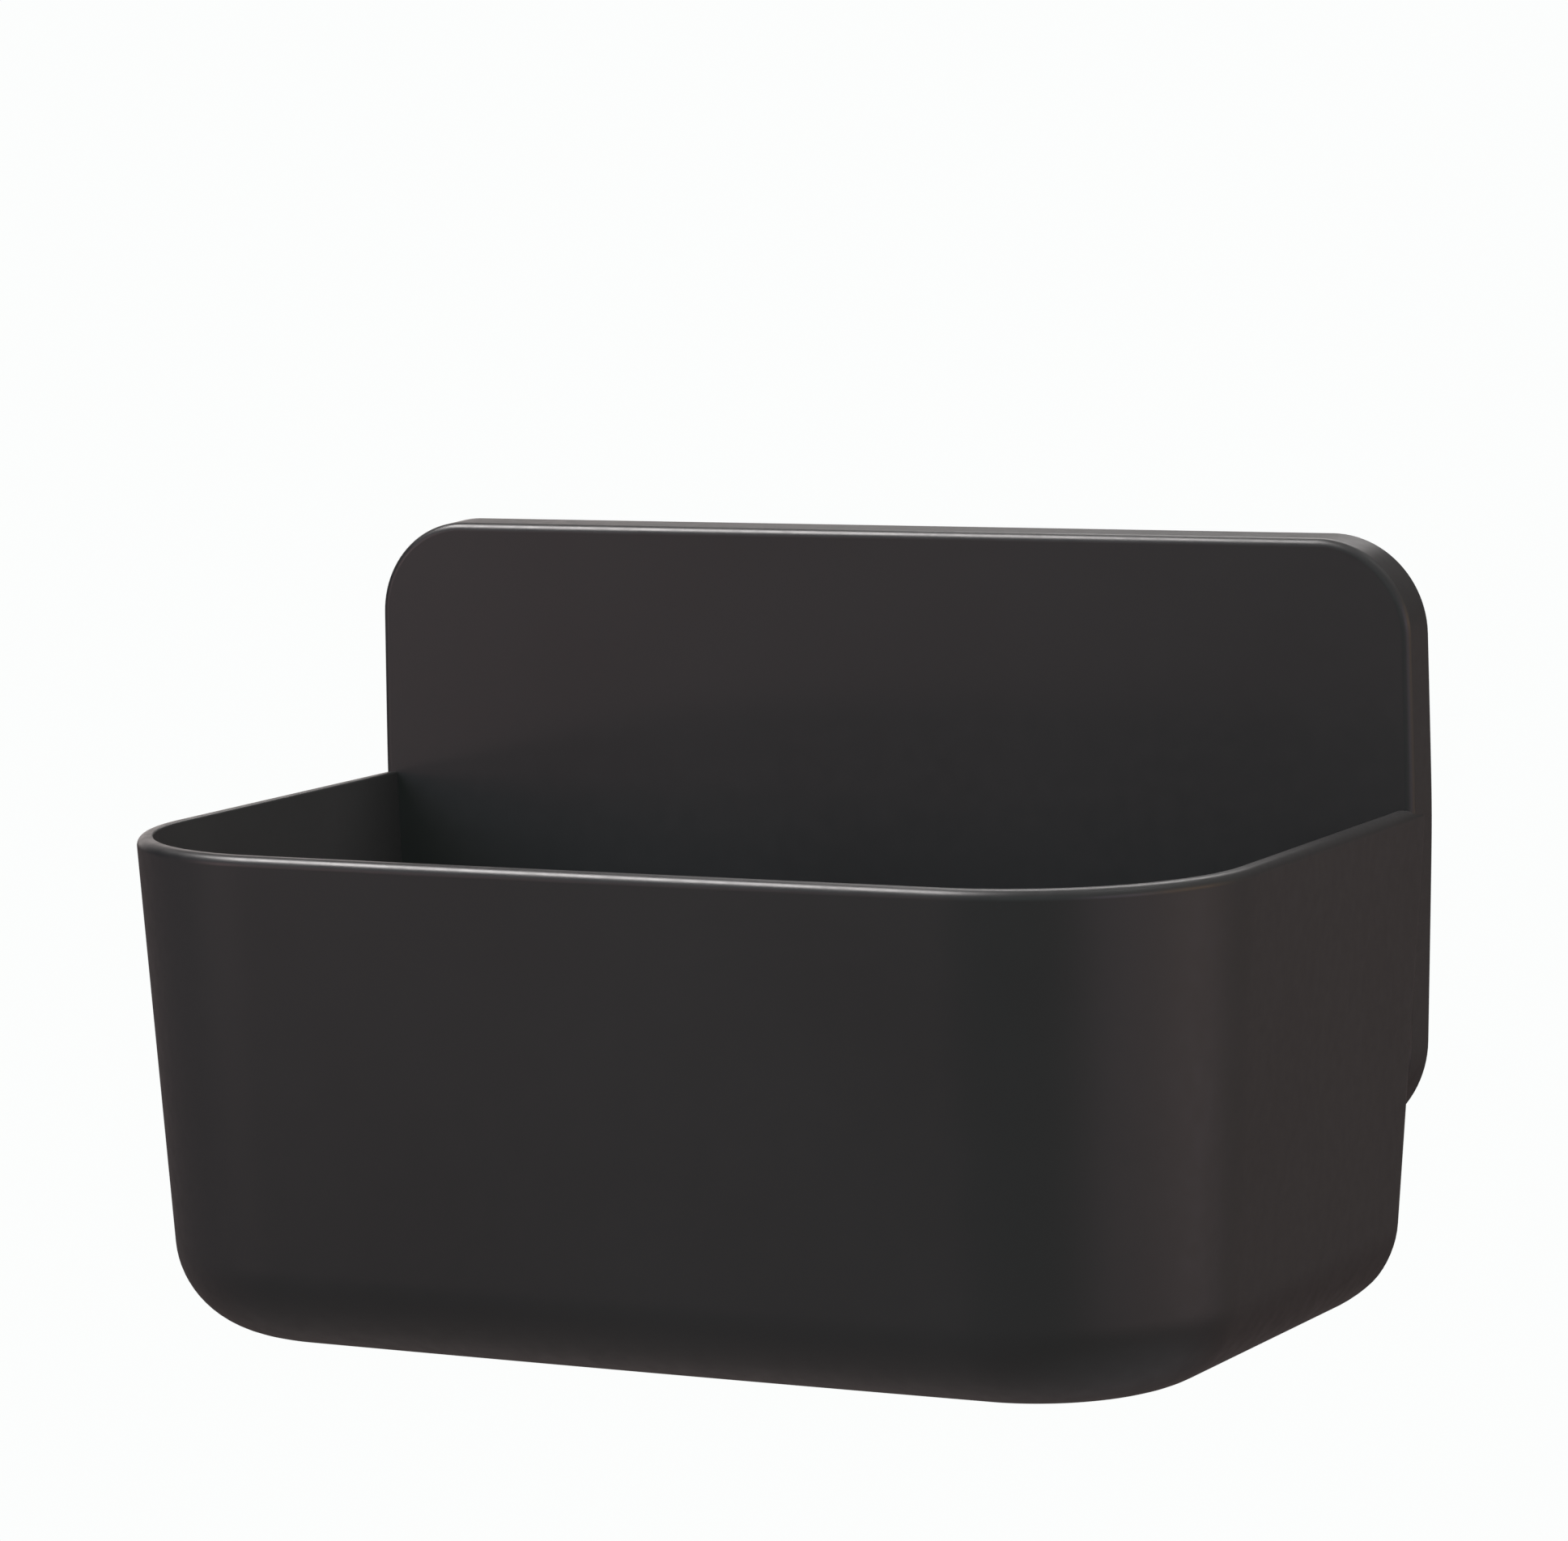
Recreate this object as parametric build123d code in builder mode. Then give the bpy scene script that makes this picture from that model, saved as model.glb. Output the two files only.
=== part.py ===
"""Wall-hung shower caddy: a one-piece basket and back panel that slides on to two wall plates.

Frame: millimetres, +Z up, +Y into the wall. The origin is on the wall plane, below the middle of the
caddy, level with the underside of the basket. The basket stands out towards -Y.
"""

import os
from math import cos, radians, sin, tan

from build123d import *

# ---- driving dimensions ----

RIM_HEIGHT = 118.0
RIM_HALF_WIDTH = 140.0          # at the front corners
PANEL_FACE_TO_FRONT = 152.2     # depth of the basket at the rim, outside
FRONT_BOW = 1.1                 # how far the front wall bulges at its middle
SIDE_DRAFT = 4.0                # degrees, at the front end of the side walls
FRONT_DRAFT = 3.85
REAR_DRAFT = 8.0
FRONT_RADIUS_RIM = 53.2
FRONT_RADIUS_BASE = 44.5
REAR_RADIUS = 5.5
BASE_ROUNDING = 21.1
RIM_ROUNDING = 1.8
WALL = 4.0
FLOOR = 3.2

PANEL_TOP = 181.6
PANEL_BOTTOM = 36.8
PANEL_HALF_WIDTH = 138.4        # at the height of the rim
PANEL_TOP_NARROWING = 1.0
PANEL_BOTTOM_NARROWING = 2.4
PANEL_TOP_RADIUS = 23.8
PANEL_BOTTOM_RADIUS = 25.0
PANEL_THICKNESS = 2.8
PANEL_EDGE_ROUNDING = 1.8
SKIRT_DEPTH = 12.0
WALL_CLEARANCE = 0.3            # gap between the skirt's edge and the wall
SIDE_STEP = 0.5                 # the basket's sides end this much inside the skirt

DRAIN_SLOT = (26.0, 5.0)
DRAIN_PITCH = (42.0, 27.0)
DRAIN_COUNT = (5, 4)
DRAIN_CENTRE_Y = -88.0

HANGER_X = 75.0                 # each hanger's distance from the middle
HANGER_Z = 118.0                # height of the tongues' middle
HANGER_PLATE = (70.0, 36.0, 2.2)
HANGER_PLATE_RISE = 6.0         # the hanger plate's middle above the tongue's middle
HANGER_PLATE_RADIUS = 3.0
SLOT_WIDTH = 13.0
SLOT_MOUTH_CHAMFER = 1.5
TONGUE_HEIGHT = 20.0
TONGUE_NECK_WIDTH = 12.0
TONGUE_HEAD = (26.0, 2.5)       # width, thickness
TONGUE_LEAD_IN = 1.0
SCREW_X = 28.0
SCREW_Z = (-7.0, 19.0)          # above the tongue's middle
SCREW_RADIUS = 1.4
SCREW_CLEARANCE = 0.3
SCREW_HEAD = (2.8, 1.5)         # radius, height
SCREW_LENGTH = 5.0
SCREW_TIP_GAP = 0.1
SCREW_HEAD_CHAMFER = 0.4
DRIVE_RECESS = (2.6, 0.7, 0.8)  # cross recess: span, width, depth
PILOT_CLEARANCE = 0.03
BOSS_RADIUS = 3.6
GUIDE_RIB = (2.0, 30.0)         # thickness, height
GUIDE_CLEARANCE = 0.8
RUNNING_GAP = 0.4               # between plates that pass each other

WALL_PLATE = (44.0, 64.0, 2.5)
WALL_PLATE_RADIUS = 6.0
STRIP = (17.0, 60.0, 1.2)
STRIP_RADIUS = 2.0
STRIP_X = 10.5                  # each strip's distance from its plate's middle
PULL_TAB = (12.0, 9.0, 0.5)

BUMPER_X = 104.0
BUMPER_Z = 58.0
BUMPER_HEAD = (6.5, 3.2)        # radius, thickness
BUMPER_STEM = (2.5, 4.5)        # radius, length
BUMPER_BOSS_RADIUS = 5.0
BUMPER_EDGE = 0.8

# ---- depths from the wall, worked out from the sizes above ----

SKIRT_REAR = -WALL_CLEARANCE
PANEL_FACE = SKIRT_REAR - SKIRT_DEPTH
PANEL_REAR = PANEL_FACE + PANEL_THICKNESS
WALL_PLATE_FRONT = -STRIP[2] - WALL_PLATE[2]
HANGER_REAR = WALL_PLATE_FRONT - RUNNING_GAP
HANGER_FRONT = HANGER_REAR - HANGER_PLATE[2]
TONGUE_HEAD_FRONT = PANEL_REAR + RUNNING_GAP
TONGUE_HEAD_REAR = TONGUE_HEAD_FRONT + TONGUE_HEAD[1]
FRONT_Y = PANEL_FACE - PANEL_FACE_TO_FRONT
TONGUE_TOP = HANGER_Z + TONGUE_HEIGHT / 2
HANGER_PLATE_MIDDLE = HANGER_Z + HANGER_PLATE_RISE
GUIDE_RIB_X = TONGUE_HEAD[0] / 2 + GUIDE_CLEARANCE + GUIDE_RIB[0] / 2
PILOT_DEPTH = SCREW_LENGTH - HANGER_PLATE[2] + SCREW_TIP_GAP
ROUNDING_STEPS = 6              # sections down each quarter round
SHARPEST_CORNER = 1.0


def facing_the_room(y):
    """An upright plane at depth y. Its x is the caddy's X, its y is up, and extrusions go towards -Y."""
    return Plane(origin=(0, y, 0), x_dir=(1, 0, 0), z_dir=(0, -1, 0))


def skirt_half_width(z):
    """Half the skirt's width at a height under the rim."""
    drop = (RIM_HEIGHT - z) / (RIM_HEIGHT - PANEL_BOTTOM)
    return PANEL_HALF_WIDTH - PANEL_BOTTOM_NARROWING * drop


def rear_outer(z):
    """Depth of the basket's rear wall, outside, at a height."""
    return SKIRT_REAR - (RIM_HEIGHT - z) * tan(radians(REAR_DRAFT))


def basket_section(z, inset, rear):
    """The basket's outline at a height, moved in by inset and ending at the depth rear."""
    drop = RIM_HEIGHT - z
    front = FRONT_Y + drop * tan(radians(FRONT_DRAFT)) + inset
    half_front = RIM_HALF_WIDTH - drop * tan(radians(SIDE_DRAFT)) - inset
    half_rear = skirt_half_width(z) - SIDE_STEP - inset
    radius_change = (FRONT_RADIUS_RIM - FRONT_RADIUS_BASE) * drop / RIM_HEIGHT
    with BuildSketch(Plane.XY.offset(z)) as section:
        with BuildLine():
            ThreePointArc((-half_front, front), (0, front - FRONT_BOW), (half_front, front))
            Polyline((half_front, front), (half_rear, rear), (-half_rear, rear), (-half_front, front))
        make_face()
        fillet(section.vertices().sort_by(Axis.Y)[:2], FRONT_RADIUS_RIM - radius_change - inset)
        fillet(section.vertices().sort_by(Axis.Y)[-2:], max(REAR_RADIUS - inset, SHARPEST_CORNER))
    return section.sketch


def outer_section(z, inset=0.0):
    """The outside of the basket at a height, moved in by inset where the base is rounded."""
    return basket_section(z, inset, rear_outer(z) - inset)


def inner_section(z, inset=0.0):
    """The inside of the basket at a height, moved in by inset where the floor is rounded."""
    return basket_section(z, WALL + inset, min(PANEL_FACE, rear_outer(z) - WALL) - inset)


def quarter_round(radius, bottom):
    """Heights and insets down a quarter round of the given radius that ends level at bottom."""
    angles = [radians(90 * step / ROUNDING_STEPS) for step in range(ROUNDING_STEPS + 1)]
    return [(bottom + radius * (1 - sin(a)), radius * (1 - cos(a))) for a in angles]


def panel_outline(margin):
    """The back panel's outline seen from the room, moved in by margin."""
    top = PANEL_TOP - margin
    bottom = PANEL_BOTTOM + margin
    half_top = PANEL_HALF_WIDTH - PANEL_TOP_NARROWING - margin
    half_rim = PANEL_HALF_WIDTH - margin
    half_bottom = PANEL_HALF_WIDTH - PANEL_BOTTOM_NARROWING - margin
    with BuildSketch() as outline:
        with BuildLine():
            Polyline(
                (half_bottom, bottom), (half_rim, RIM_HEIGHT), (half_top, top),
                (-half_top, top), (-half_rim, RIM_HEIGHT), (-half_bottom, bottom), close=True,
            )
        make_face()
        fillet(outline.vertices().group_by(Axis.Y)[-1], PANEL_TOP_RADIUS - margin)
        fillet(outline.vertices().group_by(Axis.Y)[0], PANEL_BOTTOM_RADIUS - margin)
    return outline.sketch


def mirrored(places):
    """Places on both sides of the middle."""
    return [(side * x, z) for side in (-1, 1) for x, z in places]


def screw_places(middle_x):
    """Where one hanger plate's screws stand, seen from the room."""
    return [(middle_x + x, HANGER_Z + z) for x in (-SCREW_X, SCREW_X) for z in SCREW_Z]


def finish(part, name):
    """Label a finished piece and write it."""
    part.label = name
    export_step(part, f"parts/{name}.step")


os.makedirs("parts", exist_ok=True)

# ---- caddy shell: basket, rim, back panel and skirt in one moulding ----

floor_rounding = BASE_ROUNDING - WALL
knee = RIM_HEIGHT - (SKIRT_REAR - WALL - PANEL_FACE) / tan(radians(REAR_DRAFT))
outer_walls = [outer_section(BASE_ROUNDING), outer_section(RIM_HEIGHT)]
outer_base = [outer_section(z, inset) for z, inset in quarter_round(BASE_ROUNDING, 0)]
inner_lower_walls = [inner_section(FLOOR + floor_rounding), inner_section(knee)]
inner_upper_walls = [inner_section(knee), inner_section(RIM_HEIGHT)]
inner_base = [inner_section(z, inset) for z, inset in quarter_round(floor_rounding, FLOOR)]
panel_edge = panel_outline(0)
pocket_edge = panel_outline(PANEL_THICKNESS)

with BuildPart() as basket_outside:
    loft(outer_walls, ruled=True)
    fillet(basket_outside.faces().sort_by(Axis.Z)[-1].edges(), RIM_ROUNDING)
    loft(outer_base)

with BuildPart() as basket_inside:
    loft(inner_upper_walls, ruled=True)
    loft(inner_lower_walls, ruled=True)
    loft(inner_base)

with BuildPart() as back_panel:
    with BuildSketch(facing_the_room(SKIRT_REAR)):
        add(panel_edge)
    extrude(amount=SKIRT_DEPTH)
    front_edges = back_panel.faces().sort_by(Axis.Y)[0].edges()
    fillet(front_edges.filter_by(lambda edge: edge.center().Z > RIM_HEIGHT), PANEL_EDGE_ROUNDING)

with BuildPart() as caddy_shell:
    add(basket_outside.part)
    add(basket_inside.part, mode=Mode.SUBTRACT)
    add(back_panel.part)
    with BuildSketch(facing_the_room(SKIRT_REAR)):
        add(pocket_edge)
    extrude(amount=SKIRT_REAR - PANEL_REAR, mode=Mode.SUBTRACT)
    with BuildSketch(facing_the_room(HANGER_FRONT)):
        with Locations(*mirrored(screw_places(HANGER_X))):
            Circle(BOSS_RADIUS)
        with Locations(*mirrored([(HANGER_X + x, HANGER_PLATE_MIDDLE) for x in (-GUIDE_RIB_X, GUIDE_RIB_X)])):
            Rectangle(*GUIDE_RIB)
    extrude(amount=HANGER_FRONT - PANEL_REAR)
    with BuildSketch(facing_the_room(-BUMPER_HEAD[1])):
        with Locations(*mirrored([(BUMPER_X, BUMPER_Z)])):
            Circle(BUMPER_BOSS_RADIUS)
    extrude(amount=-BUMPER_HEAD[1] - PANEL_REAR)
    with BuildSketch(facing_the_room(HANGER_FRONT)):
        with Locations(*mirrored(screw_places(HANGER_X))):
            Circle(SCREW_RADIUS + PILOT_CLEARANCE)
    extrude(amount=PILOT_DEPTH, mode=Mode.SUBTRACT)
    with BuildSketch(facing_the_room(-BUMPER_HEAD[1])):
        with Locations(*mirrored([(BUMPER_X, BUMPER_Z)])):
            Circle(BUMPER_STEM[0] + PILOT_CLEARANCE)
    extrude(amount=BUMPER_STEM[1] + RUNNING_GAP, mode=Mode.SUBTRACT)
    with BuildSketch(Plane.XY.offset(FLOOR)):
        with Locations((0, DRAIN_CENTRE_Y)):
            with GridLocations(*DRAIN_PITCH, *DRAIN_COUNT):
                SlotOverall(*DRAIN_SLOT)
    extrude(amount=-FLOOR, mode=Mode.SUBTRACT)
finish(caddy_shell.part, "caddy_shell")

# ---- hardware behind the panel, the same on both sides ----

for side, place in ((-1, "left"), (1, "right")):
    middle_x = side * HANGER_X

    with BuildPart() as hanger_plate:
        with BuildSketch(facing_the_room(HANGER_REAR)):
            with Locations((middle_x, HANGER_PLATE_MIDDLE)):
                RectangleRounded(*HANGER_PLATE[:2], HANGER_PLATE_RADIUS)
            slot_bottom = HANGER_PLATE_MIDDLE - HANGER_PLATE[1] / 2 - SLOT_WIDTH
            with Locations((middle_x, (TONGUE_TOP + slot_bottom) / 2)):
                Rectangle(SLOT_WIDTH, TONGUE_TOP - slot_bottom, mode=Mode.SUBTRACT)
            with Locations(*screw_places(middle_x)):
                Circle(SCREW_RADIUS + SCREW_CLEARANCE, mode=Mode.SUBTRACT)
        extrude(amount=HANGER_PLATE[2])
        slot_mouth = hanger_plate.edges().filter_by(Axis.Y).group_by(Axis.Z)[0]
        chamfer(slot_mouth, SLOT_MOUTH_CHAMFER)
    finish(hanger_plate.part, f"{place}_hanger_plate")

    with BuildPart() as hanger_screws:
        with BuildSketch(facing_the_room(HANGER_REAR + SCREW_HEAD[1])):
            with Locations(*screw_places(middle_x)):
                Circle(SCREW_HEAD[0])
        extrude(amount=SCREW_HEAD[1])
        chamfer(hanger_screws.edges().group_by(Axis.Y)[-1], SCREW_HEAD_CHAMFER)
        with BuildSketch(facing_the_room(HANGER_REAR)):
            with Locations(*screw_places(middle_x)):
                Circle(SCREW_RADIUS)
        extrude(amount=SCREW_LENGTH)
        with BuildSketch(facing_the_room(HANGER_REAR + SCREW_HEAD[1])):
            with Locations(*screw_places(middle_x)):
                Rectangle(DRIVE_RECESS[0], DRIVE_RECESS[1])
                Rectangle(DRIVE_RECESS[1], DRIVE_RECESS[0])
        extrude(amount=DRIVE_RECESS[2], mode=Mode.SUBTRACT)
    finish(hanger_screws.part, f"{place}_hanger_screws")

    with BuildPart() as wall_plate:
        with BuildSketch(facing_the_room(-STRIP[2])):
            with Locations((middle_x, HANGER_Z)):
                RectangleRounded(*WALL_PLATE[:2], WALL_PLATE_RADIUS)
        extrude(amount=WALL_PLATE[2])
        with BuildSketch(facing_the_room(WALL_PLATE_FRONT)):
            with Locations((middle_x, HANGER_Z)):
                Rectangle(TONGUE_NECK_WIDTH, TONGUE_HEIGHT)
        extrude(amount=WALL_PLATE_FRONT - TONGUE_HEAD_REAR)
        with BuildSketch(facing_the_room(TONGUE_HEAD_REAR)):
            with Locations((middle_x, HANGER_Z)):
                Rectangle(TONGUE_HEAD[0], TONGUE_HEIGHT)
        extrude(amount=TONGUE_HEAD[1])
        head_front = wall_plate.faces().sort_by(Axis.Y)[0]
        chamfer(head_front.edges(), TONGUE_LEAD_IN)
    finish(wall_plate.part, f"{place}_wall_plate")

    for offset, side_name in ((-side * STRIP_X, "inner"), (side * STRIP_X, "outer")):
        with BuildPart() as adhesive_strip:
            with BuildSketch(facing_the_room(0)):
                with Locations((middle_x + offset, HANGER_Z)):
                    RectangleRounded(*STRIP[:2], STRIP_RADIUS)
            extrude(amount=STRIP[2])
            with BuildSketch(facing_the_room(0)):
                tab_length = PULL_TAB[1] + STRIP_RADIUS
                with Locations((middle_x + offset, HANGER_Z - STRIP[1] / 2 - PULL_TAB[1] / 2)):
                    Rectangle(PULL_TAB[0], tab_length)
            extrude(amount=PULL_TAB[2])
        finish(adhesive_strip.part, f"{place}_{side_name}_adhesive_strip")

    with BuildPart() as wall_bumper:
        with BuildSketch(facing_the_room(0)):
            with Locations((side * BUMPER_X, BUMPER_Z)):
                Circle(BUMPER_HEAD[0])
        extrude(amount=BUMPER_HEAD[1])
        fillet(wall_bumper.edges().group_by(Axis.Y)[-1], BUMPER_EDGE)
        with BuildSketch(facing_the_room(-BUMPER_HEAD[1])):
            with Locations((side * BUMPER_X, BUMPER_Z)):
                Circle(BUMPER_STEM[0])
        extrude(amount=BUMPER_STEM[1])
    finish(wall_bumper.part, f"{place}_wall_bumper")
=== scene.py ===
"""Looks of the wall-hung shower caddy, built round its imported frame.

The shell is one satin moulding: a deep basket with large front corners, joined to a tall back panel
whose edge returns to the wall. Behind the panel are two slotted hanger plates, their screws, the two
wall plates that they drop over, foam strips and rubber bumpers. Sizes in the classes are millimetres
in the frame's own axes, +Z up and +Y into the wall; meshes are written in metres.
"""

import logging
from collections.abc import Sequence
from dataclasses import dataclass, replace
from enum import Enum

import bpy
import numpy as np
from mathutils import Matrix, Vector


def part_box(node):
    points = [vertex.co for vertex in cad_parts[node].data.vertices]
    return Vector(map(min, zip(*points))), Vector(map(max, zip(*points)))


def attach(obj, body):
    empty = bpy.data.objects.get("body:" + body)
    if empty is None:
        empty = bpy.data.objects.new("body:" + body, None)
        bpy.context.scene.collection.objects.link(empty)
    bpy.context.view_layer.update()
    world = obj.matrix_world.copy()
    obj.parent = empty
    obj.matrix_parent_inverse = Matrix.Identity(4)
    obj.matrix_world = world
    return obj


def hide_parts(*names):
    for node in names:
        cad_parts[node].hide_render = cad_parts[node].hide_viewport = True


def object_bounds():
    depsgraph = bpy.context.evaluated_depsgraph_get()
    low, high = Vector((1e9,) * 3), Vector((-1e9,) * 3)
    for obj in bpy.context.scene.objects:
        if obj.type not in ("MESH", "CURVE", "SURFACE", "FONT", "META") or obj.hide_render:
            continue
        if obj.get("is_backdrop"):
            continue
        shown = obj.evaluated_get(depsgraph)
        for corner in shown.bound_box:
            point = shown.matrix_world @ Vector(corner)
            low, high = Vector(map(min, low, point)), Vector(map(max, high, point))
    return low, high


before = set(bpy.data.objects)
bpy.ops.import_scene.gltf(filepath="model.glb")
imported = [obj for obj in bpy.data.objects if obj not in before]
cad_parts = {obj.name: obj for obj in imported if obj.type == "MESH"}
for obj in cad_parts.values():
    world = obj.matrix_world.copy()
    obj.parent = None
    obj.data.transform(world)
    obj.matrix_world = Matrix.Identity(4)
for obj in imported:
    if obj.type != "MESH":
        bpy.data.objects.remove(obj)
CAD_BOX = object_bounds()

LOG = logging.getLogger("caddy")
MM = 0.001
QUARTER = np.pi / 2
OVERSHOOT = 3.0
SINK = 0.5
LEAST_RADIUS = 0.05

Object = bpy.types.Object
Material = bpy.types.Material
Array = np.ndarray
Pair = tuple[float, float]
Triple = tuple[float, float, float]


class Side(Enum):
    """Which half of the caddy a piece belongs to; the value is the sign of its X."""

    LEFT = -1
    RIGHT = 1


class Body(Enum):
    """The CAD bodies that pieces ride on."""

    CADDY = "caddy"
    WALL = "wall_mounts"


class Cut(Enum):
    """How one solid is combined with another."""

    JOIN = "UNION"
    REMOVE = "DIFFERENCE"


# ---------------------------------------------------------------- surfaces


@dataclass(frozen=True)
class LoopCounts:
    """Points of each stretch of a rounded loop, from the middle of its low edge to its high edge."""

    low: int = 4
    low_corner: int = 8
    side: int = 4
    high_corner: int = 8
    high: int = 4

    def weights(self) -> tuple[Array, Array]:
        """Work out how each point of a half loop depends on the loop's five sizes.

        A point is a weighted sum: x of (half width, low radius, high radius) and y of (low edge, high
        edge, low radius, high radius). Straight stretches weigh their two ends, and corners are
        quarter turns.

        Returns:
            The weights of x, one row of 3 for each point, and of y, one row of 4 for each point.
        """
        t_low = np.linspace(0, 1, self.low, endpoint=False)
        t_side = np.linspace(0, 1, self.side + 1)[1:-1]
        t_high = np.linspace(0, 1, self.high + 1)[1:]
        a_low = np.linspace(-QUARTER, 0, self.low_corner + 1)
        a_high = np.linspace(0, QUARTER, self.high_corner + 1)
        one, none = np.ones_like, np.zeros_like
        x_rows = [
            np.stack([t_low, -t_low, none(t_low)], 1),
            np.stack([one(a_low), np.cos(a_low) - 1, none(a_low)], 1),
            np.stack([one(t_side), none(t_side), none(t_side)], 1),
            np.stack([one(a_high), none(a_high), np.cos(a_high) - 1], 1),
            np.stack([1 - t_high, none(t_high), t_high - 1], 1),
        ]
        y_rows = [
            np.stack([one(t_low), none(t_low), none(t_low), none(t_low)], 1),
            np.stack([one(a_low), none(a_low), 1 + np.sin(a_low), none(a_low)], 1),
            np.stack([1 - t_side, t_side, 1 - t_side, -t_side], 1),
            np.stack([none(a_high), one(a_high), none(a_high), np.sin(a_high) - 1], 1),
            np.stack([none(t_high), one(t_high), none(t_high), none(t_high)], 1),
        ]
        return np.vstack(x_rows), np.vstack(y_rows)


def rounded_loops(
    half: Array, low: Array, high: Array, r_low: Array, r_high: Array, counts: LoopCounts
) -> Array:
    """Make closed rounded rectangles, one for each row of sizes.

    The right half is the weighted sum that LoopCounts gives; the left half is its mirror image, walked
    back from the top to the start.

    Args:
        half: Half widths.
        low: Positions of the low edges.
        high: Positions of the high edges.
        r_low: Corner radii at the low edge.
        r_high: Corner radii at the high edge.
        counts: Points for each stretch.

    Returns:
        Points with shape (loops, points, 2).
    """
    sizes = [np.atleast_1d(np.asarray(v, float)) for v in (half, low, high, r_low, r_high)]
    half, low, high, r_low, r_high = np.broadcast_arrays(*sizes)
    of_x, of_y = counts.weights()
    x = np.stack([half, r_low, r_high], 1) @ of_x.T
    y = np.stack([low, high, r_low, r_high], 1) @ of_y.T
    right = np.stack([x, y], 2)
    left = right[:, -2:0:-1] * np.array([-1.0, 1.0])
    return np.concatenate([right, left], 1)


def arc(start: float, end: float, steps: int) -> Array:
    """Angles in degrees from start to end, in equal steps, as radians."""
    return np.radians(np.linspace(start, end, steps + 1))


def end_round(radius: float, steps: int) -> tuple[Array, Array]:
    """A quarter circle at the end of a prism.

    At angle a from the end face, the way in from the end is r(1 - sin a) and the inset is r(1 - cos a).
    A negative radius gives a flare: the same way in, with the inset's sign turned.

    Returns:
        The ways in from the end and the insets, from the end face inwards.
    """
    if radius == 0:
        return np.zeros(1), np.zeros(1)
    angles = arc(90, 0, steps)
    return abs(radius) * (1 - np.sin(angles)), radius * (1 - np.cos(angles))


def prism_levels(
    start: float, end: float, at_start: float, at_end: float, steps: int = 5
) -> tuple[Array, Array]:
    """Levels along a prism whose ends are rounded, where a radius is positive, or flared, where negative.

    A flared end runs on past its face, so that it cuts the face cleanly.

    Args:
        start: Where the prism starts.
        end: Where it ends.
        at_start: Radius at the start.
        at_end: Radius at the end.
        steps: Steps in each quarter circle.

    Returns:
        The levels and, for each, how far the outline is moved in.
    """
    way = np.sign(end - start)
    in_first, inset_first = end_round(at_start, steps)
    in_last, inset_last = end_round(at_end, steps)
    levels = [start + way * in_first, end - way * in_last[::-1]]
    insets = [inset_first, inset_last[::-1]]
    if at_start < 0:
        levels.insert(0, [start - way * OVERSHOOT])
        insets.insert(0, inset_first[:1])
    if at_end < 0:
        levels.append([end + way * OVERSHOOT])
        insets.append(inset_last[:1])
    return np.concatenate(levels), np.concatenate(insets)


def skin(name: str, rings: Array) -> Object:
    """Join a stack of rings into a closed mesh: quads between rings, and a flat cap on each end.

    The signed volume, a sum of tetrahedra from the origin, tells whether the faces point outwards; if it
    is negative, every face is turned round.

    Args:
        name: The new object's name.
        rings: Points in millimetres, with shape (rings, points, 3); each ring is closed.

    Returns:
        The new object, linked to the scene, in metres.
    """
    count, around = rings.shape[:2]
    index = np.arange(count * around).reshape(count, around)
    near, far = index[:-1], index[1:]
    quads = np.stack([near, np.roll(near, -1, 1), np.roll(far, -1, 1), far], 2).reshape(-1, 4)
    points = rings.reshape(-1, 3)
    a, b, c, d = (points[quads[:, k]] for k in range(4))
    volume = np.einsum("ij,ij->", a, np.cross(b, c)) + np.einsum("ij,ij->", a, np.cross(c, d))
    first, last = index[0][::-1], index[-1]
    for cap in (first, last):
        ring = points[cap]
        spokes = ring - ring.mean(0)
        volume += np.einsum("j,ij->", ring.mean(0), np.cross(spokes, np.roll(spokes, -1, 0)))
    faces = [*quads.tolist(), first.tolist(), last.tolist()]
    if volume < 0:
        faces = [face[::-1] for face in faces]
    mesh = bpy.data.meshes.new(name)
    mesh.from_pydata((points * MM).tolist(), [], faces)
    mesh.update()
    piece = bpy.data.objects.new(name, mesh)
    bpy.context.scene.collection.objects.link(piece)
    return piece


@dataclass(frozen=True)
class Slab:
    """A rounded rectangle that is carried a short way: into the wall, or upwards.

    Attributes:
        half: Half its width in X.
        low: Its low edge, in Z for an upright slab and in Y for a level one.
        high: Its high edge.
        r_low: Corner radius at the low edge.
        r_high: Corner radius at the high edge.
        middle: X of its middle.
        upright: Whether it is carried along Y; if not, it is carried along Z.
        counts: Points for each stretch of its outline.
    """

    half: float
    low: float
    high: float
    r_low: float
    r_high: float
    middle: float = 0.0
    upright: bool = True
    counts: LoopCounts = LoopCounts()

    def carry(self, name: str, levels: Array, inset: Array) -> Object:
        """Carry the outline through some levels, moved in by an inset at each."""
        r_low = np.maximum(self.r_low - inset, LEAST_RADIUS)
        r_high = np.maximum(self.r_high - inset, LEAST_RADIUS)
        sizes = (self.half - inset, self.low + inset, self.high - inset, r_low, r_high)
        flat = rounded_loops(*sizes, self.counts)
        x, v = flat[..., 0] + self.middle, flat[..., 1]
        along = np.broadcast_to(levels[:, None], x.shape)
        return skin(name, np.stack([x, along, v] if self.upright else [x, v, along], 2))

    def solid(self, name: str, start: float, end: float, at_start: float, at_end: float) -> Object:
        """Carry the outline from start to end, with rounded or flared ends, as prism_levels says."""
        return self.carry(name, *prism_levels(start, end, at_start, at_end))


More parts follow.
